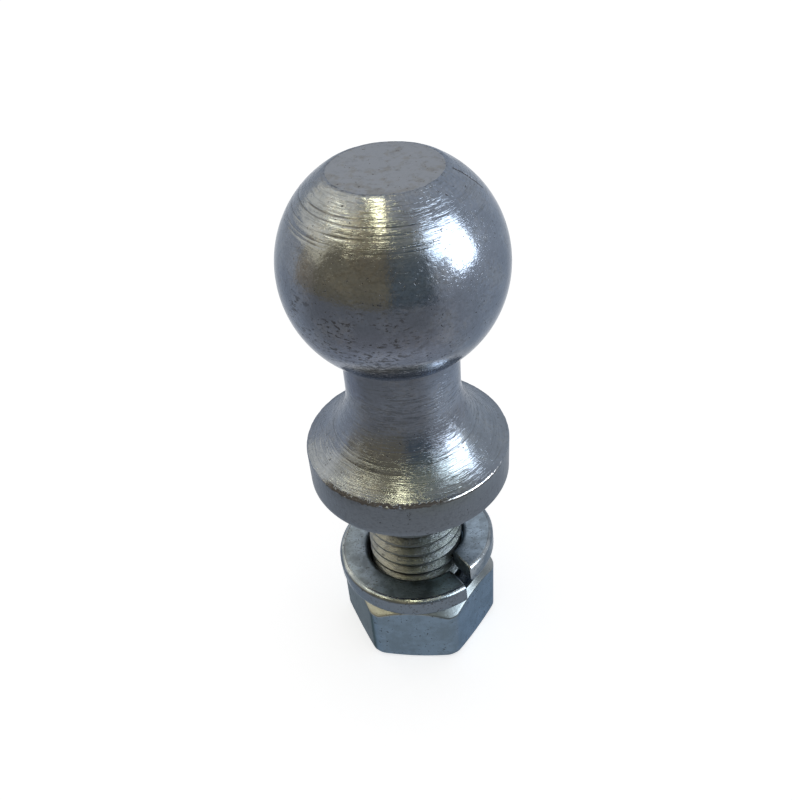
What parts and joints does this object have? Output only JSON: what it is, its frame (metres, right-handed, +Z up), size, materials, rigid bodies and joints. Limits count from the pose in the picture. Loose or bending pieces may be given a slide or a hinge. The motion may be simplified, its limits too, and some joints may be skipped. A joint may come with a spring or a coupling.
{
  "type": "sway control ball",
  "caption": "Small flanged towing ball on a threaded shank, with a split lock washer and hex nut to clamp it to a drawbar plate.",
  "frame": {"origin": "centre of the nut's lower face, on which the part stands", "axes": "+Z up the stud's axis towards the ball, -Y the front of the picture, with the washer's split to the front right"},
  "size_m": [0.0318, 0.0318, 0.0866],
  "materials": {
    "turned_zinc": "zinc plated over fine turning marks, satin",
    "washer_zinc": "zinc plated spring steel, glossy edges",
    "nut_zinc": "bluish zinc plate, smooth satin"
  },
  "bodies": {
    "stud": {"ball_stud": "turned_zinc"},
    "washer": {"lock_washer": "washer_zinc"},
    "nut": {"hex_nut": "nut_zinc"}
  },
  "joints": [
    {"name": "washer_ride", "type": "slide", "parent": "stud", "child": "washer", "axis": [0, 0, 1], "range_m": [0, 0.01386]},
    {"name": "nut_turn", "type": "hinge", "parent": "washer", "child": "nut", "pos_m": [0, 0, 0.0068], "axis": [0, 0, 1], "range_deg": [0, 2160]}
  ],
  "couplings": [
    {"joint": "washer_ride", "follows": "nut_turn", "m_per_rad": 0.00036749}
  ]
}
